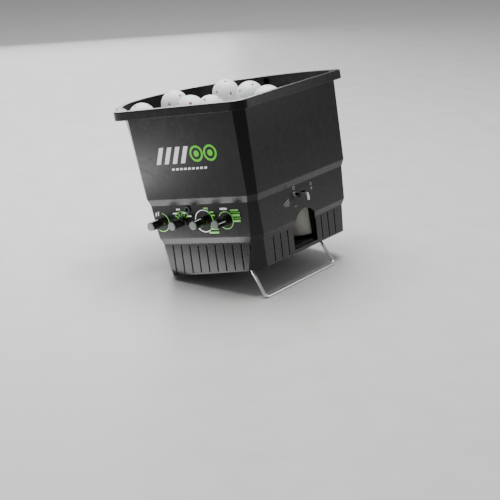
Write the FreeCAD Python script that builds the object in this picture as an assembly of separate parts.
import FreeCAD, Part
import math
import os
from collections import namedtuple

from FreeCAD import Vector

# Small-ball baseball pitching machine. Every piece is drawn upright, with the origin at the
# centre of the base and +Z up, then the machine is leaned back onto its wire stand.
# The control panel faces -Y and the ball leaves towards +X. All sizes are in millimetres.

# Stance
LEAN_DEG = 10.5

# Casing tiers: height; reach of the front (+X), back (-X) and side (Y) walls from the axis;
# corner cuts at front and back; how far the back wall and the far (+Y) wall bow outwards
Level = namedtuple("Level", "z front back side cut back_cut bow far_bow")
BASE_BOTTOM = Level(0.0, 92.5, 92.5, 124.5, 20.0, 20.0, 4.0, 0.0)
BASE_TOP = Level(42.0, 95.5, 95.5, 121.5, 14.0, 14.0, 8.0, 0.0)
MID_BOTTOM = Level(51.0, 100.0, 99.0, 124.5, 14.0, 14.0, 11.0, 0.0)
MID_TOP = Level(102.0, 102.0, 101.0, 125.0, 11.0, 11.0, 18.0, 0.0)
HOPPER_BOTTOM = Level(112.0, 106.0, 104.0, 128.0, 11.0, 11.0, 21.0, 0.0)
HOPPER_TOP = Level(250.0, 111.0, 126.0, 132.0, 14.0, 26.0, 56.0, 15.0)
SLANT = 0.0455
RIM_OUT = 8.0
RIM_THICK = 3.0
SKIRT_LOW = 237.0
SKIRT_WALL = 2.5
RIM_EDGE_ROUND = 1.4
HOOK_SLOT_X = (-39.0, -28.0)
HOOK_SLOT_Z = (238.0, 247.0)
FLANGE_THICK = 3.0
FLANGE_WIDTH = 12.0
WALL = 2.5
BASE_WALL = 3.0
FIT_GAP = 0.3

# Ribbed base
GROOVE_WIDTH = 2.6
GROOVE_DEPTH = 1.3
GROOVE_LIP = 3.0
GROOVE_HIGH = 40.0
FRONT_GROOVES = 11
FRONT_GROOVE_PITCH = 16.1
SIDE_GROOVES = 10
SIDE_GROOVE_PITCH = 18.5

# Balls and their path
BALL_R = 21.5
BALL_WALL = 1.2
BALL_Y = 0.0
DROP_X = -60.0
DROP_R = 23.5
EXIT_R = 31.5
EXIT_CENTRE_Z = 31.5
EXIT_SILL_Z = 5.5

# Bottom cover and feet
COVER_LOW = 3.0
COVER_HIGH = 6.0
FOOT_R = 8.0
REAR_FOOT = (-81.0, 50.0)
EXIT_FOOT = (52.0, 84.0)
FOOT_DROP = 3.5

# Deck under the hopper and the plate over the wheel
DECK_LOW = 109.0
DECK_HIGH = 112.0
SHELF_WIDTH = 9.0
SHELF_THICK = 3.0
WHEEL_PLATE_LOW = 62.0
WHEEL_PLATE_HIGH = 65.0

# Feed disc
FEED_X = -18.0
FEED_Y = BALL_Y
POCKET_CIRCLE_R = FEED_X - DROP_X
POCKET_R = 23.0
POCKETS = 5
DISC_R = 68.0
DISC_LOW = 115.5
DISC_HIGH = 139.0
WELL_R = 70.0
WELL_FLOOR_HIGH = 115.0
WELL_TOP = 130.0
BOWL_TOP = 149.0
BOWL_THICK = 3.0
BOWL_GAP = 1.5
FEED_SHAFT_R = 3.0
FEED_MOTOR_LOW = 69.0
GEARBOX_LOW = 93.0

# Pitching wheel
WHEEL_X = 48.0
WHEEL_R = 35.0
WHEEL_LOW = 13.0
WHEEL_HIGH = 57.0
PINCH_GAP = 39.0
TYRE_THICK = 8.0
WHEEL_Y = BALL_Y + PINCH_GAP / 2 + WHEEL_R
SHAFT_R = 2.5
RUNNING_GAP = 0.05
MOTOR_R = 18.0
MOTOR_HIGH = 104.0

# Ball channel
CHANNEL_BACK_X = -86.0
RAMP_END_X = 10.0
RAMP_START_Z = 40.0
CHANNEL_FLOOR_Z = 9.5
CHANNEL_WALL = 2.5
CHANNEL_HALF = 22.5
CHANNEL_SIDE_HEIGHT = 32.0

# Aiming rail and its lever
RAIL_PIVOT_X = 12.0
RAIL_PIVOT_Y = -28.5
RAIL_LOW = 10.5
RAIL_HIGH = 48.0
RAIL_END_X = 84.0
RAIL_FACE_Y = BALL_Y - PINCH_GAP / 2
PAD_THICK = 3.0
RAIL_THICK = 3.0
RAIL_PIN_R = 2.0
LEVER_R = 2.3
LEVER_Y = -7.5
LEVER_Z = 86.0
LEVER_OUT_X = 115.0
LEVER_DROP = 9.0
SLOT_HALF = 14.0
SLOT_HALF_HEIGHT = 3.4

# Control panel
KNOB_X = [-75.0, -34.0, 6.5, 47.0]
KNOB_NAMES = ["speed", "interval", "program", "power"]
KNOB_Z = 76.5
KNOB_BASE_R = 7.2
KNOB_TIP_R = 6.6
KNOB_LENGTH = 23.0
KNOB_CAP_THICK = 1.6
POT_SHAFT_R = 3.0
POT_BUSH_R = 3.5
POT_CAN_R = 8.0
POT_CAN_DEPTH = 10.0
PANEL_Y = -124.8
JACK_X = -21.0
JACK_Z = 95.0
JACK_R = 4.0

# Wire stand
WIRE_R = 2.3
STAND_PIVOT_X = 66.0
STAND_PIVOT_Z = 0.4
STAND_BAR_X = 90.0
STAND_NEAR_Y = -111.0
STAND_FAR_Y = 70.0
STAND_BAR_NEAR_Y = -118.0
STAND_BEND_R = 7.0
STUB_LENGTH = 19.0
CLIP_WIDTH = 10.0

# Small pieces inside
BOSS_HIGH = 20.0
COVER_SCREW_X = [-72.0, -32.0, 8.0]
COVER_SCREW_Y = 111.0
DROP_TUBE_LOW = 78.0
AGITATOR_HEIGHT = 18.0
GUARD_X = -134.0
GUARD_LOW = 165.0
WHEEL_PLATE_X = (-4.0, 92.0)
WHEEL_PLATE_Y = (28.0, 104.0)
POSTS = [(4.0, 36.0), (10.0, 92.0), (80.0, 92.0), (84.5, 38.0)]
LEVER_POST_X = 62.0
KNOB_BACK_Y = PANEL_Y - 4.0
KNOB_TIP_Y = KNOB_BACK_Y - KNOB_LENGTH

# Ball load
BALL_GAP = 0.5
BALL_WALL_GAP = 3.0
BALL_GRID = 3.0
HEAP_LIMIT = 214.0
TOP_BALLS = [
    (-120.5, -73.0, 231.5), (-97.0, -19.0, 240.0), (-36.5, -56.7, 234.0), (9.0, -66.5, 232.5),
    (-54.0, 58.0, 240.0), (9.3, 34.5, 236.0), (73.6, -9.5, 232.0),
]

# Fasteners
COVER_SCREW = 12.0
DECK_SCREW = 5.5
FLANGE_SCREW = 8.5
BOWL_SCREW = 5.0
CLIP_SCREW = 6.5
POST_SCREW = 12.0
MOTOR_SCREW = 7.0
SCREW_R = 1.5
SCREW_HEAD_R = 3.0
SCREW_HEAD = 2.0

X = Vector(1, 0, 0)
Y = Vector(0, 1, 0)
Z = Vector(0, 0, 1)
LEAN = math.radians(LEAN_DEG)


def box(x0, x1, y0, y1, z0, z1):
    return Part.makeBox(x1 - x0, y1 - y0, z1 - z0, Vector(x0, y0, z0))


def rod(radius, start, end):
    start = Vector(*start)
    axis = Vector(*end) - start
    return Part.makeCylinder(radius, axis.Length, start, axis)


def cone(r0, r1, start, end):
    start = Vector(*start)
    axis = Vector(*end) - start
    return Part.makeCone(r0, r1, axis.Length, start, axis)


def fuse(shapes):
    return shapes[0].multiFuse(shapes[1:]).removeSplitter()


def cut(shape, tools):
    for tool in tools:
        shape = shape.cut(tool)
    return shape


def prism(points, direction):
    wire = Part.makePolygon([Vector(*p) for p in points + points[:1]])
    return Part.Face(wire).extrude(direction)


def bow_arc(level):
    """Centre (on X) and radius of the back wall's arc."""
    half = level.side - level.back_cut
    radius = (half ** 2 + level.bow ** 2) / (2 * level.bow)
    return radius - level.back - level.bow, radius


def inset(level, wall):
    """The same outline, moved inwards by a wall's thickness."""
    trim = wall * (2 - math.sqrt(2))
    centre, radius = bow_arc(level)
    half = level.side - level.back_cut - wall + trim
    back = math.sqrt((radius - wall) ** 2 - half ** 2) - centre
    return level._replace(
        front=level.front - wall, side=level.side - wall, cut=level.cut - trim,
        back=back, back_cut=level.back_cut - trim, bow=radius - wall - centre - back)


def level_between(low, high, z):
    t = (z - low.z) / (high.z - low.z)
    return Level(z, *(a + t * (b - a) for a, b in zip(low[1:], high[1:])))


def contains(level, x, y):
    """Whether a point lies inside an outline, the far wall's bow left aside."""
    centre, radius = bow_arc(level)
    return (
        x <= level.front and abs(y) <= level.side and math.hypot(x - centre, y) <= radius
        and x + abs(y) <= level.front + level.side - level.cut
        and abs(y) - x <= level.back + level.side - level.back_cut)


def outline(level, round_corners=False):
    """Casing outline: flat or bowed walls with four cut or rounded corners."""
    z, front, back, side, cut, back_cut, bow, far_bow = level
    points = [Vector(x, y, z) for x, y in (
        (-back + back_cut, -side), (front - cut, -side), (front, -side + cut), (front, side - cut),
        (front - cut, side), (-back + back_cut, side), (-back, side - back_cut), (-back, -side + back_cut),
    )]
    middle_x = (front - cut - back + back_cut) / 2
    bows = {4: Vector(middle_x, side + far_bow, z), 6: Vector(-back - bow, 0, z)}
    edges = []
    for i, here in enumerate(points):
        after = points[(i + 1) % 8]
        bulge = math.sin(math.radians(22.5)) / 2 * (after - here).Length
        if i in bows and (bows[i] - (here + after) / 2).Length > 0.01:
            edges.append(Part.Arc(here, bows[i], after).toShape())
        elif i % 2 == 1 and round_corners:
            outward = (after - here).cross(Z).normalize()
            edges.append(Part.Arc(here, (here + after) / 2 + outward * bulge, after).toShape())
        else:
            edges.append(Part.LineSegment(here, after).toShape())
    return Part.Wire(edges)


def slab(z_at_front, thick):
    """Slanted half-space tool: everything under a plane that drops towards the back."""
    front = BASE_BOTTOM.front
    low = z_at_front - 400 * SLANT
    return prism([
        (front + 100, -300, z_at_front + 100 * SLANT), (front - 400, -300, low),
        (front - 400, -300, low - thick), (front + 100, -300, low - thick),
    ], Y * 600)


def loft(*wires):
    return Part.makeLoft(list(wires), True, True)


def tier(low, high):
    return loft(outline(low), outline(high))


def screw(head_at, direction, length):
    """Pan-head screw: the head's flat seat is at head_at and the shank runs along direction."""
    seat = Vector(*head_at)
    head = Part.makeCylinder(SCREW_HEAD_R, SCREW_HEAD, seat - direction * SCREW_HEAD, direction)
    shank = Part.makeCylinder(SCREW_R, length, seat, direction)
    return head.fuse(shank).removeSplitter()


def screw_hole(head_at, direction, length):
    return Part.makeCylinder(SCREW_R, length, Vector(*head_at), direction)


def exit_tool():
    """The arch that the balls leave through, as a bar along X."""
    x0 = BASE_TOP.front - 12
    top = Vector(x0, BALL_Y, EXIT_CENTRE_Z + EXIT_R)
    left = Vector(x0, BALL_Y - EXIT_R, EXIT_CENTRE_Z)
    right = Vector(x0, BALL_Y + EXIT_R, EXIT_CENTRE_Z)
    left_foot = Vector(x0, BALL_Y - EXIT_R, EXIT_SILL_Z)
    right_foot = Vector(x0, BALL_Y + EXIT_R, EXIT_SILL_Z)
    wire = Part.Wire([
        Part.LineSegment(left_foot, left).toShape(),
        Part.Arc(left, top, right).toShape(),
        Part.LineSegment(right, right_foot).toShape(),
        Part.LineSegment(right_foot, left_foot).toShape(),
    ])
    return Part.Face(wire).extrude(X * 30)


# Hopper

def rim_outline(z, wall):
    """Outline of the rim's skirt, or of its inner face when wall is its thickness."""
    return outline(inset(HOPPER_TOP, wall - RIM_OUT)._replace(z=z), True)


def hopper_shell():
    """Open-topped hopper with a flat rim, a hanging skirt and an inward flange at its foot."""
    top_z = HOPPER_TOP.z
    walls = tier(HOPPER_BOTTOM, HOPPER_TOP)
    skirt = Part.Face(rim_outline(SKIRT_LOW, 0)).extrude(Z * (top_z - SKIRT_LOW))
    skirt = skirt.makeFillet(RIM_EDGE_ROUND, [e for e in skirt.Edges if e.BoundBox.ZMin > top_z - 0.1])
    skirt = skirt.cut(Part.Face(rim_outline(SKIRT_LOW, SKIRT_WALL)).extrude(Z * (top_z - RIM_THICK - SKIRT_LOW)))
    low = inset(HOPPER_BOTTOM, WALL)
    high = inset(HOPPER_TOP, WALL)
    cavity = tier(level_between(low, high, HOPPER_BOTTOM.z + FLANGE_THICK), level_between(low, high, top_z + 1))
    window = Part.Face(outline(inset(HOPPER_BOTTOM, WALL + FLANGE_WIDTH))).extrude(Z * 2 * FLANGE_THICK)
    holes = [screw_hole(p, -Z, FLANGE_SCREW) for p in deck_screw_places()]
    far_y = HOPPER_TOP.side + HOPPER_TOP.far_bow
    holes.append(box(*HOOK_SLOT_X, far_y - 10, far_y + 1, *HOOK_SLOT_Z))
    return cut(fuse([walls, skirt]), [cavity, window] + holes)


def bowl_surface(drop):
    """Funnel from the hopper's walls down to the round well, lowered by drop."""
    level = inset(level_between(HOPPER_BOTTOM, HOPPER_TOP, BOWL_TOP), WALL + BOWL_GAP)
    upper = outline(level._replace(z=BOWL_TOP - drop))
    corners = [v.Point for v in upper.OrderedVertexes]
    angles = [math.atan2(p.y - FEED_Y, p.x - FEED_X) for p in corners]
    rim = []
    for start, end in zip(angles, angles[1:] + angles[:1]):
        if end < start:
            end += 2 * math.pi
        arc = [Vector(FEED_X + WELL_R * math.cos(a), FEED_Y + WELL_R * math.sin(a), WELL_TOP - drop)
               for a in (start, (start + end) / 2, end)]
        rim.append(Part.Arc(*arc).toShape())
    return loft(Part.Wire(rim), upper)


def feed_bowl():
    """Sloped hopper floor with a round well for the feed disc and a drop hole in the well."""
    skin = bowl_surface(BOWL_THICK).cut(bowl_surface(0))
    centre = (FEED_X, FEED_Y)
    well = rod(WELL_R + BOWL_THICK, centre + (DECK_HIGH,), centre + (WELL_TOP,))
    well = well.cut(rod(WELL_R, centre + (WELL_FLOOR_HIGH,), centre + (WELL_TOP + 1,)))
    bowl = fuse([well, skin.cut(rod(WELL_R, centre + (0,), centre + (WELL_TOP + 40,)))])
    holes = [
        rod(DROP_R, (DROP_X, BALL_Y, DECK_LOW), (DROP_X, BALL_Y, WELL_FLOOR_HIGH + 1)),
        rod(8, centre + (DECK_LOW,), centre + (WELL_FLOOR_HIGH + 1,)),
    ]
    for x, y, z in gearbox_screw_places():
        holes.append(rod(SCREW_HEAD_R + FIT_GAP, (x, y, z), (x, y, z + SCREW_HEAD + FIT_GAP)))
    return cut(bowl, holes + [screw_hole(p, Z, BOWL_SCREW) for p in bowl_screw_places()])


def bowl_screw_places():
    return around(FEED_X, FEED_Y, WELL_R - 10, 4, DECK_LOW, 45.0)


# Feed disc and its drive

def feed_disc():
    """Disc with round pockets; each pocket carries one ball to the drop hole."""
    centre = (FEED_X, FEED_Y)
    disc = rod(DISC_R, centre + (DISC_LOW,), centre + (DISC_HIGH,))
    tools = [rod(FEED_SHAFT_R, centre + (DISC_LOW - 1,), centre + (DISC_HIGH + 1,))]
    for x, y, z in around(FEED_X, FEED_Y, POCKET_CIRCLE_R, POCKETS, DISC_LOW - 1, 180.0):
        tools.append(rod(POCKET_R, (x, y, z), (x, y, DISC_HIGH + 1)))
    return cut(disc, tools)


def feed_agitator():
    """Cone on the disc with two fins that keep the balls moving."""
    centre = (FEED_X, FEED_Y)
    body = cone(15, 5, centre + (DISC_HIGH,), centre + (DISC_HIGH + AGITATOR_HEIGHT,))
    fin = box(FEED_X - 17, FEED_X + 17, FEED_Y - 2, FEED_Y + 2, DISC_HIGH, DISC_HIGH + 9)
    return fuse([body, fin])


def feed_shaft():
    return rod(FEED_SHAFT_R, (FEED_X, FEED_Y, GEARBOX_LOW + 2), (FEED_X, FEED_Y, DISC_HIGH))


def feed_gearbox():
    centre = (FEED_X, FEED_Y)
    body = rod(16, centre + (GEARBOX_LOW,), centre + (DECK_LOW,))
    boss = rod(6, centre + (DECK_LOW,), centre + (DECK_HIGH,))
    bore = rod(FEED_SHAFT_R + RUNNING_GAP, centre + (GEARBOX_LOW + 2,), centre + (DECK_HIGH + 1,))
    holes = [screw_hole(p, -Z, DECK_SCREW) for p in gearbox_screw_places()]
    return cut(body.fuse(boss), [bore] + holes)


def gearbox_screw_places():
    return around(FEED_X, FEED_Y, 11, 3, DECK_HIGH, 30.0)


def feed_motor():
    centre = (FEED_X, FEED_Y)
    can = rod(14, centre + (FEED_MOTOR_LOW,), centre + (GEARBOX_LOW,))
    return can.makeFillet(1.5, [e for e in can.Edges if e.BoundBox.ZMax < FEED_MOTOR_LOW + 0.1])


def drop_tube():
    """Guide between the deck and the ball channel."""
    centre = (DROP_X, BALL_Y)
    tube = rod(DROP_R + 1.2, centre + (DROP_TUBE_LOW,), centre + (DECK_LOW,))
    return tube.cut(rod(DROP_R - 0.5, centre + (DROP_TUBE_LOW - 1,), centre + (DECK_LOW + 1,)))


def drop_guard():
    """Shelf that keeps the heap off the pocket over the drop hole."""
    shelf = box(GUARD_X, DROP_X + 22, BALL_Y - 24, BALL_Y + 24, GUARD_LOW, GUARD_LOW + 3)
    back = box(GUARD_X, GUARD_X + 3, BALL_Y - 24, BALL_Y + 24, BOWL_TOP - BOWL_THICK, GUARD_LOW)
    gusset = prism([(GUARD_X + 3, BALL_Y - 1.5, BOWL_TOP + 4), (GUARD_X + 3, BALL_Y - 1.5, GUARD_LOW),
                    (GUARD_X + 13, BALL_Y - 1.5, GUARD_LOW)], Y * 3)
    return fuse([shelf, back, gusset]).cut(feed_bowl())


def hopper_deck():
    """Plate that closes the middle casing and carries the feed drive."""
    low = inset(level_between(MID_TOP, HOPPER_BOTTOM, DECK_LOW), WALL + FIT_GAP)
    deck = Part.Face(outline(low)).extrude(Z * (DECK_HIGH - DECK_LOW))
    tools = [
        rod(DROP_R, (DROP_X, BALL_Y, DECK_LOW - 1), (DROP_X, BALL_Y, DECK_HIGH + 1)),
        rod(6, (FEED_X, FEED_Y, DECK_LOW - 1), (FEED_X, FEED_Y, DECK_HIGH + 1)),
    ]
    tools += [screw_hole(p, -Z, DECK_SCREW) for p in gearbox_screw_places()]
    tools += [screw_hole(p, -Z, FLANGE_SCREW) for p in deck_screw_places()]
    tools += [screw_hole(p, Z, BOWL_SCREW) for p in bowl_screw_places()]
    return cut(deck, tools)


def deck_screw_places():
    y = MID_TOP.side - WALL - 4
    return [(sx * 60, sy * y, DECK_HIGH + FLANGE_THICK) for sx in (-1, 1) for sy in (-1, 1)]


# Middle casing

def control_casing():
    """Middle casing with the control panel, the lever slot and the top of the exit arch."""
    outer = fuse([tier(MID_BOTTOM, MID_TOP), tier(MID_TOP, HOPPER_BOTTOM)])
    low = inset(MID_BOTTOM, WALL)
    mid = inset(MID_TOP, WALL)
    high = inset(HOPPER_BOTTOM, WALL)
    cavity = fuse([tier(low, mid), tier(mid, high)])
    shelf_outline = level_between(mid, high, DECK_LOW - SHELF_THICK)
    shelf = Part.Face(outline(inset(shelf_outline, -WALL / 2))).extrude(Z * SHELF_THICK)
    window = Part.Face(outline(inset(shelf_outline, SHELF_WIDTH))).extrude(Z * SHELF_THICK)
    casing = fuse([outer.cut(cavity), shelf.cut(window)])
    tools = [exit_tool()]
    for x in KNOB_X:
        tools.append(rod(POT_BUSH_R, (x, PANEL_Y - 5, KNOB_Z), (x, PANEL_Y + 9, KNOB_Z)))
    tools.append(rod(JACK_R, (JACK_X, PANEL_Y - 5, JACK_Z), (JACK_X, PANEL_Y + 9, JACK_Z)))
    slot = [LEVER_Y - SLOT_HALF, LEVER_Y + SLOT_HALF, LEVER_Z - SLOT_HALF_HEIGHT, LEVER_Z + SLOT_HALF_HEIGHT]
    tools.append(box(MID_TOP.front - 12, MID_TOP.front + 8, *slot))
    tools += [screw_hole(p, -Z, FLANGE_SCREW) for p in deck_screw_places()]
    return cut(casing, tools)


# Ribbed base

def bottom_height(x):
    """Height of the base's slanted lower edge."""
    return -SLANT * (BASE_BOTTOM.front - x)


def base_level(z):
    return level_between(BASE_BOTTOM, BASE_TOP, z)


def groove(x, reach, place, direction):
    """Shallow groove that follows a sloping wall; reach gives the wall's distance at a height."""
    low = bottom_height(x) + GROOVE_LIP
    points = []
    for z, out in ((low, 3), (low, -GROOVE_DEPTH), (GROOVE_HIGH, -GROOVE_DEPTH), (GROOVE_HIGH, 3)):
        points.append(place(reach(z) + out, z))
    return prism(points, direction * GROOVE_WIDTH)


def back_reach(z, y):
    centre, radius = bow_arc(base_level(z))
    return math.sqrt(radius ** 2 - y ** 2) - centre


def base_grooves():
    tools = []
    for i in range(FRONT_GROOVES):
        x = (i - (FRONT_GROOVES - 1) / 2) * FRONT_GROOVE_PITCH - GROOVE_WIDTH / 2
        for side in (-1, 1):
            tools.append(groove(x, lambda z: base_level(z).side, lambda r, z: (x, side * r, z), X))
    for i in range(SIDE_GROOVES):
        y = (i - (SIDE_GROOVES - 1) / 2) * SIDE_GROOVE_PITCH - GROOVE_WIDTH / 2
        tools.append(groove(-BASE_TOP.back, lambda z: back_reach(z, y), lambda r, z: (-r, y, z), Y))
        if abs(y - BALL_Y) > EXIT_R + 4:
            tools.append(groove(BASE_TOP.front, lambda z: base_level(z).front, lambda r, z: (r, y, z), Y))
    return tools


def base_shell():
    """Ribbed lower casing, open below, with the exit arch in its +X wall."""
    deepest = bottom_height(-BASE_BOTTOM.back - BASE_BOTTOM.bow) - 1
    outer = fuse([tier(base_level(deepest), BASE_TOP), tier(BASE_TOP, MID_BOTTOM)])
    low = inset(base_level(deepest), BASE_WALL)
    mid = inset(BASE_TOP, BASE_WALL)
    high = inset(MID_BOTTOM, BASE_WALL)
    shell = outer.cut(fuse([tier(low, mid), tier(mid, high)]))
    bosses = [rod(5, (x, y, COVER_HIGH), (x, y, BOSS_HIGH)) for x, y in cover_screw_places()]
    webs = []
    for x, y in cover_screw_places():
        far = y + math.copysign(14, y)
        webs.append(box(x - 1.5, x + 1.5, min(y, far), max(y, far), COVER_HIGH, BOSS_HIGH))
    shell = fuse([shell] + [b.common(outer) for b in bosses + webs])
    holes = [screw_hole((x, y, COVER_LOW), Z, COVER_SCREW) for x, y in cover_screw_places()]
    return cut(shell, [exit_tool(), slab(0, 40)] + base_grooves() + holes)


def cover_screw_places():
    return [(x, side * COVER_SCREW_Y) for x in COVER_SCREW_X for side in (-1, 1)]


def bottom_cover():
    level = inset(level_between(BASE_BOTTOM, BASE_TOP, COVER_LOW), BASE_WALL + FIT_GAP)
    plate = Part.Face(outline(level)).extrude(Z * (COVER_HIGH - COVER_LOW))
    holes = [screw_hole((x, y, COVER_LOW), Z, COVER_SCREW) for x, y in cover_screw_places()]
    holes += [screw_hole((x, y, COVER_HIGH), -Z, 10) for x, y in foot_places()]
    holes += [screw_hole(p, Z, CLIP_SCREW) for p in clip_screw_places()]
    pin = rod(RAIL_PIN_R, (RAIL_PIVOT_X, RAIL_PIVOT_Y, 0), (RAIL_PIVOT_X, RAIL_PIVOT_Y, COVER_HIGH + 1))
    return cut(plate, holes + [pin])


def foot_places():
    return [(x, side * y) for x, y in (REAR_FOOT, EXIT_FOOT) for side in (-1, 1)]


def rubber_foot(x, y):
    """Foot with a stem that plugs into the cover."""
    pad = rod(FOOT_R, (x, y, bottom_height(x) - 10), (x, y, COVER_LOW)).cut(slab(-FOOT_DROP, 40))
    pad = pad.makeFillet(1.0, [e for e in pad.Edges if e.BoundBox.ZMax < COVER_LOW - 0.1 and e.Length > 40])
    return pad.fuse(rod(SCREW_R, (x, y, COVER_LOW), (x, y, COVER_HIGH))).removeSplitter()


# Ball channel

def channel_slope(x):
    t = (x - CHANNEL_BACK_X) / (RAMP_END_X - CHANNEL_BACK_X)
    return RAMP_START_Z + t * (CHANNEL_FLOOR_Z - RAMP_START_Z)


def ball_channel():
    """Sloping trough that brings each ball to the wheel, then a flat floor out to the arch."""
    y0 = BALL_Y - CHANNEL_HALF - CHANNEL_WALL
    y1 = BALL_Y + CHANNEL_HALF + CHANNEL_WALL
    exit_x = BASE_BOTTOM.front - BASE_WALL - 1
    thick = CHANNEL_WALL
    floor = prism([
        (CHANNEL_BACK_X, y0, RAMP_START_Z), (RAMP_END_X, y0, CHANNEL_FLOOR_Z),
        (exit_x, y0, CHANNEL_FLOOR_Z), (exit_x, y0, CHANNEL_FLOOR_Z - thick),
        (RAMP_END_X, y0, CHANNEL_FLOOR_Z - thick), (CHANNEL_BACK_X, y0, RAMP_START_Z - thick),
    ], Y * (y1 - y0))
    wall_end = RAIL_PIVOT_X - 7
    rise = CHANNEL_SIDE_HEIGHT
    walls = []
    for y in (y0, y1 - thick):
        walls.append(prism([
            (CHANNEL_BACK_X, y, RAMP_START_Z), (CHANNEL_BACK_X, y, RAMP_START_Z + rise),
            (wall_end, y, channel_slope(wall_end) + rise), (wall_end, y, channel_slope(wall_end)),
        ], Y * thick))
    back = box(CHANNEL_BACK_X, CHANNEL_BACK_X + thick, y0, y1, RAMP_START_Z - thick, RAMP_START_Z + rise)
    legs = [box(x, x + 4, y, y + thick, COVER_HIGH, channel_slope(x + 4) - thick / 2)
            for x in (-80, -20) for y in (y0, y1 - thick)]
    pads = [box(x, x + 4, y0, y1, COVER_HIGH, CHANNEL_FLOOR_Z - thick) for x in (14, exit_x - 4)]
    return fuse([floor, back] + walls + legs + pads)


# Pitching wheel and its drive

def wheel_hub():
    centre = (WHEEL_X, WHEEL_Y)
    middle = (WHEEL_LOW + WHEEL_HIGH) / 2
    rim_r = WHEEL_R - TYRE_THICK
    rim = rod(rim_r, centre + (WHEEL_LOW,), centre + (WHEEL_HIGH,))
    rim = rim.cut(rod(rim_r - 3, centre + (WHEEL_LOW - 1,), centre + (WHEEL_HIGH + 1,)))
    web = rod(rim_r - 2, centre + (middle - 2,), centre + (middle + 2,))
    boss = rod(7, centre + (WHEEL_LOW + 5,), centre + (WHEEL_HIGH,))
    ribs = []
    for i in range(3):
        rib = box(WHEEL_X - rim_r + 1, WHEEL_X + rim_r - 1, WHEEL_Y - 1.2, WHEEL_Y + 1.2, middle - 10, middle + 10)
        ribs.append(rib.rotated(Vector(WHEEL_X, WHEEL_Y, 0), Z, 60 * i))
    bore = rod(SHAFT_R, centre + (WHEEL_LOW - 1,), centre + (WHEEL_HIGH + 1,))
    return fuse([rim, web, boss] + ribs).cut(bore)


def wheel_tyre():
    centre = (WHEEL_X, WHEEL_Y)
    tyre = rod(WHEEL_R, centre + (WHEEL_LOW,), centre + (WHEEL_HIGH,))
    tyre = tyre.makeFillet(2.5, [tyre.Edges[0], tyre.Edges[2]])
    return tyre.cut(rod(WHEEL_R - TYRE_THICK, centre + (WHEEL_LOW - 1,), centre + (WHEEL_HIGH + 1,)))


def wheel_shaft():
    return rod(SHAFT_R, (WHEEL_X, WHEEL_Y, WHEEL_LOW + 5), (WHEEL_X, WHEEL_Y, MOTOR_HIGH - 2))


def wheel_motor():
    centre = (WHEEL_X, WHEEL_Y)
    can = rod(MOTOR_R, centre + (WHEEL_PLATE_HIGH,), centre + (MOTOR_HIGH,))
    can = can.makeFillet(2, [e for e in can.Edges if e.BoundBox.ZMin > MOTOR_HIGH - 0.1])
    boss = rod(6, centre + (WHEEL_PLATE_LOW,), centre + (WHEEL_PLATE_HIGH,))
    bore = rod(SHAFT_R + RUNNING_GAP, centre + (WHEEL_PLATE_LOW - 1,), centre + (MOTOR_HIGH - 2,))
    holes = [screw_hole(p, Z, MOTOR_SCREW) for p in motor_screw_places()]
    return cut(can.fuse(boss), [bore] + holes)


def motor_screw_places():
    return around(WHEEL_X, WHEEL_Y, 12, 4, WHEEL_PLATE_LOW, 45.0)


def wheel_plate():
    """Plate over the wheel that the motor hangs from."""
    plate = box(WHEEL_PLATE_X[0], WHEEL_PLATE_X[1], WHEEL_PLATE_Y[0], WHEEL_PLATE_Y[1],
                WHEEL_PLATE_LOW, WHEEL_PLATE_HIGH)
    plate = plate.makeFillet(5, [e for e in plate.Edges if e.Length < 4])
    tools = [rod(6, (WHEEL_X, WHEEL_Y, WHEEL_PLATE_LOW - 1), (WHEEL_X, WHEEL_Y, WHEEL_PLATE_HIGH + 1))]
    tools += [screw_hole(p, Z, MOTOR_SCREW) for p in motor_screw_places()]
    tools += [screw_hole((x, y, WHEEL_PLATE_HIGH), -Z, POST_SCREW) for x, y in POSTS]
    return cut(plate, tools)


def plate_post(x, y):
    post = rod(4, (x, y, COVER_HIGH), (x, y, WHEEL_PLATE_LOW))
    return post.cut(screw_hole((x, y, WHEEL_PLATE_HIGH), -Z, POST_SCREW))


# Aiming rail

def aiming_rail():
    """Upright rail that the ball is squeezed against; it swings about a pin at its rear end."""
    back_y = RAIL_FACE_Y - PAD_THICK - RAIL_THICK
    plate = box(RAIL_PIVOT_X, RAIL_END_X, back_y, back_y + RAIL_THICK, RAIL_LOW, RAIL_HIGH)
    knuckle = rod(4.5, (RAIL_PIVOT_X, RAIL_PIVOT_Y, RAIL_LOW), (RAIL_PIVOT_X, RAIL_PIVOT_Y, RAIL_HIGH))
    lug = box(LEVER_POST_X - 6, LEVER_POST_X + 6, back_y - 3, back_y + 1, RAIL_HIGH - 12, RAIL_HIGH + 6)
    bore = rod(RAIL_PIN_R + RUNNING_GAP, (RAIL_PIVOT_X, RAIL_PIVOT_Y, 0), (RAIL_PIVOT_X, RAIL_PIVOT_Y, 90))
    post = rod(LEVER_R, (LEVER_POST_X, back_y - 3, RAIL_HIGH + 1), (LEVER_POST_X, back_y - 3, 90))
    return cut(fuse([plate, knuckle, lug]), [bore, post])


def rail_pad():
    return box(RAIL_PIVOT_X + 6, RAIL_END_X, RAIL_FACE_Y - PAD_THICK, RAIL_FACE_Y, RAIL_LOW, RAIL_HIGH)


def aiming_lever():
    """Bent rod from the rail, up and out through the slot, with its end turned down."""
    back_y = RAIL_FACE_Y - PAD_THICK - RAIL_THICK
    points = [
        (LEVER_POST_X, back_y - 3, RAIL_HIGH + 1), (LEVER_POST_X, back_y - 3, LEVER_Z),
        (LEVER_POST_X + 20, LEVER_Y, LEVER_Z), (LEVER_OUT_X, LEVER_Y, LEVER_Z),
        (LEVER_OUT_X, LEVER_Y, LEVER_Z - LEVER_DROP),
    ]
    runs = [rod(LEVER_R, a, b) for a, b in zip(points, points[1:])]
    bends = [Part.makeSphere(LEVER_R, Vector(*p)) for p in points[1:-1]]
    return fuse(runs + bends)


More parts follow.
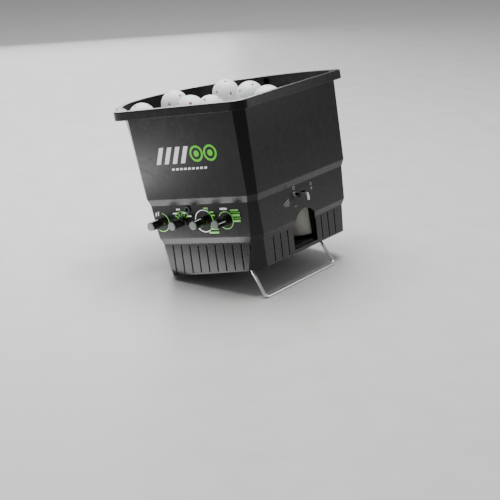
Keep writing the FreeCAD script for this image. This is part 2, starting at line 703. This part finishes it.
def rail_pin():
    foot = (RAIL_PIVOT_X, RAIL_PIVOT_Y)
    return rod(RAIL_PIN_R, foot + (COVER_LOW,), foot + (RAIL_HIGH + 3,))


# Controls

def potentiometer(x):
    """Sealed body and threaded bush behind the panel; its shaft turns with the knob."""
    can = rod(POT_CAN_R, (x, PANEL_Y + 3.2, KNOB_Z), (x, PANEL_Y + 3.2 + POT_CAN_DEPTH, KNOB_Z))
    bush = rod(POT_BUSH_R, (x, PANEL_Y - 3.2, KNOB_Z), (x, PANEL_Y + 3.2, KNOB_Z))
    bore = rod(POT_SHAFT_R + RUNNING_GAP, (x, PANEL_Y - 4, KNOB_Z), (x, PANEL_Y + 8, KNOB_Z))
    return can.fuse(bush).cut(bore)


def pot_nut(x):
    """Hexagon nut on the bush, in front of the panel."""
    points = []
    for i in range(6):
        a = math.radians(60 * i)
        points.append((x + 5.5 * math.cos(a), PANEL_Y - 0.4, KNOB_Z + 5.5 * math.sin(a)))
    nut = prism(points, -Y * 2)
    return nut.cut(rod(POT_BUSH_R, (x, PANEL_Y - 9, KNOB_Z), (x, PANEL_Y + 2, KNOB_Z)))


def pot_shaft(x):
    return rod(POT_SHAFT_R, (x, PANEL_Y + 8, KNOB_Z), (x, KNOB_BACK_Y - 12, KNOB_Z))


def knob(x):
    """Long turning knob with a hollow back for the nut."""
    body = cone(KNOB_BASE_R, KNOB_TIP_R, (x, KNOB_BACK_Y, KNOB_Z), (x, KNOB_TIP_Y, KNOB_Z))
    bore = rod(POT_SHAFT_R, (x, KNOB_BACK_Y + 1, KNOB_Z), (x, KNOB_BACK_Y - 12, KNOB_Z))
    return body.cut(bore)


def knob_cap(x):
    cap = rod(KNOB_TIP_R - 0.4, (x, KNOB_TIP_Y, KNOB_Z), (x, KNOB_TIP_Y - KNOB_CAP_THICK, KNOB_Z))
    return cap.makeFillet(0.6, [e for e in cap.Edges if e.BoundBox.YMax < KNOB_TIP_Y - KNOB_CAP_THICK + 0.1])


def control_board():
    y = PANEL_Y + 3.2 + POT_CAN_DEPTH
    return box(KNOB_X[0] - 14, KNOB_X[-1] + 14, y, y + 1.6, KNOB_Z - 15, KNOB_Z + 26)


def power_jack():
    """Round socket in the panel, with a flange outside and its body behind."""
    flange = rod(JACK_R + 1.2, (JACK_X, PANEL_Y - 2.2, JACK_Z), (JACK_X, PANEL_Y - 0.6, JACK_Z))
    body = rod(JACK_R, (JACK_X, PANEL_Y - 0.6, JACK_Z), (JACK_X, PANEL_Y + 13, JACK_Z))
    mouth = rod(2.9, (JACK_X, PANEL_Y - 3, JACK_Z), (JACK_X, PANEL_Y + 8, JACK_Z))
    pin = rod(1.05, (JACK_X, PANEL_Y, JACK_Z), (JACK_X, PANEL_Y + 9, JACK_Z))
    return fuse([flange.fuse(body).cut(mouth), pin])


# Wire stand

def stand_bar_height():
    """Height of the bar's axis, so that bar and feet stand on one floor."""
    edge_x = REAR_FOOT[0] - FOOT_R + 1
    floor = math.sin(LEAN) * edge_x + math.cos(LEAN) * (bottom_height(edge_x) - FOOT_DROP)
    return (floor + WIRE_R - math.sin(LEAN) * STAND_BAR_X) / math.cos(LEAN)


def wire_stand():
    """Bail of round wire: two inward stubs, two legs and the bar that stands on the floor."""
    bar_z = stand_bar_height()
    near_stub = Vector(STAND_PIVOT_X, STAND_NEAR_Y + STUB_LENGTH, STAND_PIVOT_Z)
    far_stub = Vector(STAND_PIVOT_X, STAND_FAR_Y - STUB_LENGTH, STAND_PIVOT_Z)
    corners = [
        near_stub, Vector(STAND_PIVOT_X, STAND_NEAR_Y, STAND_PIVOT_Z),
        Vector(STAND_BAR_X, STAND_BAR_NEAR_Y, bar_z), Vector(STAND_BAR_X, STAND_FAR_Y, bar_z),
        Vector(STAND_PIVOT_X, STAND_FAR_Y, STAND_PIVOT_Z), far_stub,
    ]
    bends = [0, 4.0, STAND_BEND_R, STAND_BEND_R, 4.0, 0]
    return wire_rod(corners, bends, WIRE_R)


def wire_rod(corners, bends, radius):
    """Round wire along straight runs joined by tangent arcs."""
    edges = []
    last = corners[0]
    for before, here, after, bend in zip(corners, corners[1:], corners[2:], bends[1:]):
        back = (before - here).normalize()
        ahead = (after - here).normalize()
        half = back.getAngle(ahead) / 2
        reach = bend / math.tan(half)
        middle = (back + ahead).normalize() * (bend / math.sin(half) - bend)
        start = here + back * reach
        end = here + ahead * reach
        edges.append(Part.LineSegment(last, start).toShape())
        edges.append(Part.Arc(start, here + middle, end).toShape())
        last = end
    edges.append(Part.LineSegment(last, corners[-1]).toShape())
    path = Part.Wire(edges)
    start_axis = (corners[1] - corners[0]).normalize()
    profile = Part.Wire(Part.makeCircle(radius, corners[0], start_axis))
    return path.makePipeShell([profile], True, True, 2)


def stand_clip(y):
    """Saddle under the cover that a stub of the stand turns in."""
    half = CLIP_WIDTH / 2
    low = STAND_PIVOT_Z - 3.2
    block = box(STAND_PIVOT_X - 11, STAND_PIVOT_X + 5, y - half, y + half, low, COVER_LOW)
    bore = rod(WIRE_R + RUNNING_GAP, (STAND_PIVOT_X, y - 9, STAND_PIVOT_Z), (STAND_PIVOT_X, y + 9, STAND_PIVOT_Z))
    sinks = [rod(SCREW_HEAD_R + FIT_GAP / 2, (sx, sy, low - 1), (sx, sy, sz)) for sx, sy, sz in clip_screw_places()]
    return cut(block, [bore] + sinks + [screw_hole(p, Z, CLIP_SCREW) for p in clip_screw_places()])


def clip_places():
    return [STAND_NEAR_Y + STUB_LENGTH - CLIP_WIDTH / 2 - 1, STAND_FAR_Y - STUB_LENGTH + CLIP_WIDTH / 2 + 1]


def clip_screw_places():
    return [(STAND_PIVOT_X - 7, y, STAND_PIVOT_Z - 1.2) for y in clip_places()]


# Ball load

def ball_floor(x, y):
    """Lowest height of a ball's centre over a point of the hopper's floor."""
    reach = BALL_R + BALL_GAP
    from_axis = math.hypot(x - FEED_X, y - FEED_Y)
    height = DISC_HIGH + 1 + reach
    if from_axis > WELL_R - 12:
        height = BOWL_TOP + 3 + reach
    if from_axis < 17 + reach:
        height = DISC_HIGH + AGITATOR_HEIGHT + 1 + reach
    over_guard = x < DROP_X + 22 + reach and abs(y - BALL_Y) < 24 + reach
    if over_guard:
        height = GUARD_LOW + 4 + reach
    while height < HOPPER_TOP.z and not contains(ball_room(height), x, y):
        height += 2
    return height


def ball_room(z):
    """Outline that a ball's centre stays inside at a height."""
    return inset(level_between(HOPPER_BOTTOM, HOPPER_TOP, z), WALL + BALL_R + BALL_WALL_GAP)


def heap_places():
    """Drop balls one by one onto the lowest free spot, so that the heap's top lies level."""
    span = 2 * BALL_R + BALL_GAP
    spots = []
    for i in range(-int(170 / BALL_GRID), int(HOPPER_TOP.front / BALL_GRID)):
        for j in range(-int(HOPPER_TOP.side / BALL_GRID), int(HOPPER_TOP.side / BALL_GRID)):
            x = i * BALL_GRID
            y = j * BALL_GRID
            spots.append([x, y, ball_floor(x, y)])
    placed = []
    while True:
        free = [s for s in spots if s[2] < HEAP_LIMIT]
        if not free:
            return placed
        best = min(free, key=lambda s: math.sin(LEAN) * s[0] + math.cos(LEAN) * s[2])
        placed.append(tuple(best))
        for s in spots:
            flat = math.hypot(s[0] - best[0], s[1] - best[1])
            if flat < span:
                s[2] = max(s[2], best[2] + math.sqrt(span * span - flat * flat))


def ball_places():
    """The heap with the highest balls standing on it."""
    span = 2 * BALL_R + BALL_GAP
    heap = [p for p in heap_places() if all(math.dist(p, top) >= span for top in TOP_BALLS)]
    return heap + TOP_BALLS


def practice_ball(x, y, z):
    """Thin hollow ball."""
    centre = Vector(x, y, z)
    return Part.makeSphere(BALL_R, centre).cut(Part.makeSphere(BALL_R - BALL_WALL, centre))


def ball_load():
    return Part.makeCompound([practice_ball(*place) for place in ball_places()])


# Assembly

def around(x, y, radius, count, z, first_deg):
    """Points evenly spaced on a circle."""
    places = []
    for i in range(count):
        a = math.radians(first_deg + 360 / count * i)
        places.append((x + radius * math.cos(a), y + radius * math.sin(a), z))
    return places


def upright_parts():
    group = Part.makeCompound
    parts = {
        "hopper_shell": hopper_shell(),
        "feed_bowl": feed_bowl(),
        "drop_guard": drop_guard(),
        "hopper_deck": hopper_deck(),
        "control_casing": control_casing(),
        "base_shell": base_shell(),
        "bottom_cover": bottom_cover(),
        "rubber_feet": group([rubber_foot(x, y) for x, y in foot_places()]),
        "ball_channel": ball_channel(),
        "drop_tube": drop_tube(),
        "feed_disc": feed_disc(),
        "feed_agitator": feed_agitator(),
        "feed_shaft": feed_shaft(),
        "feed_gearbox": feed_gearbox(),
        "feed_motor": feed_motor(),
        "pitching_wheel_hub": wheel_hub(),
        "pitching_wheel_tyre": wheel_tyre(),
        "pitching_wheel_shaft": wheel_shaft(),
        "wheel_motor": wheel_motor(),
        "wheel_plate": wheel_plate(),
        "plate_posts": group([plate_post(x, y) for x, y in POSTS]),
        "aiming_rail": aiming_rail(),
        "aiming_rail_pad": rail_pad(),
        "aiming_lever": aiming_lever(),
        "aiming_rail_pin": rail_pin(),
        "control_board": control_board(),
        "potentiometers": group([potentiometer(x) for x in KNOB_X]),
        "potentiometer_nuts": group([pot_nut(x) for x in KNOB_X]),
        "power_jack": power_jack(),
        "wire_stand": wire_stand(),
        "stand_clips": group([stand_clip(y) for y in clip_places()]),
        "cover_screws": group([screw((x, y, COVER_LOW), Z, COVER_SCREW) for x, y in cover_screw_places()]),
        "clip_screws": group([screw(p, Z, CLIP_SCREW) for p in clip_screw_places()]),
        "post_screws": group([screw((x, y, WHEEL_PLATE_HIGH), -Z, POST_SCREW) for x, y in POSTS]),
        "wheel_motor_screws": group([screw(p, Z, MOTOR_SCREW) for p in motor_screw_places()]),
        "gearbox_screws": group([screw(p, -Z, DECK_SCREW) for p in gearbox_screw_places()]),
        "deck_screws": group([screw(p, -Z, FLANGE_SCREW) for p in deck_screw_places()]),
        "bowl_screws": group([screw(p, Z, BOWL_SCREW) for p in bowl_screw_places()]),
        "practice_balls": ball_load(),
    }
    for name, x in zip(KNOB_NAMES, KNOB_X):
        parts[name + "_knob"] = knob(x)
        parts[name + "_knob_cap"] = knob_cap(x)
        parts[name + "_knob_shaft"] = pot_shaft(x)
    return parts


def leaned(shape):
    return shape.rotated(Vector(0, 0, 0), Y, -LEAN_DEG)


def footprint_shift(shapes):
    """Move that puts the origin on the floor, at the middle of the machine's outline."""
    boxes = [s.optimalBoundingBox(False, False) for s in shapes]
    low = Vector(min(b.XMin for b in boxes), min(b.YMin for b in boxes), min(b.ZMin for b in boxes))
    high = Vector(max(b.XMax for b in boxes), max(b.YMax for b in boxes), 0)
    return Vector(-(low.x + high.x) / 2, -(low.y + high.y) / 2, -low.z)


def main():
    os.makedirs("parts", exist_ok=True)
    parts = {name: leaned(shape) for name, shape in upright_parts().items()}
    shift = footprint_shift(parts.values())
    for name, shape in parts.items():
        shape.translated(shift).exportStep("parts/" + name + ".step")
        print(name, len(shape.Solids), shape.isValid(), round(shape.Volume / 1000, 2))
    print("shift", shift)


main()
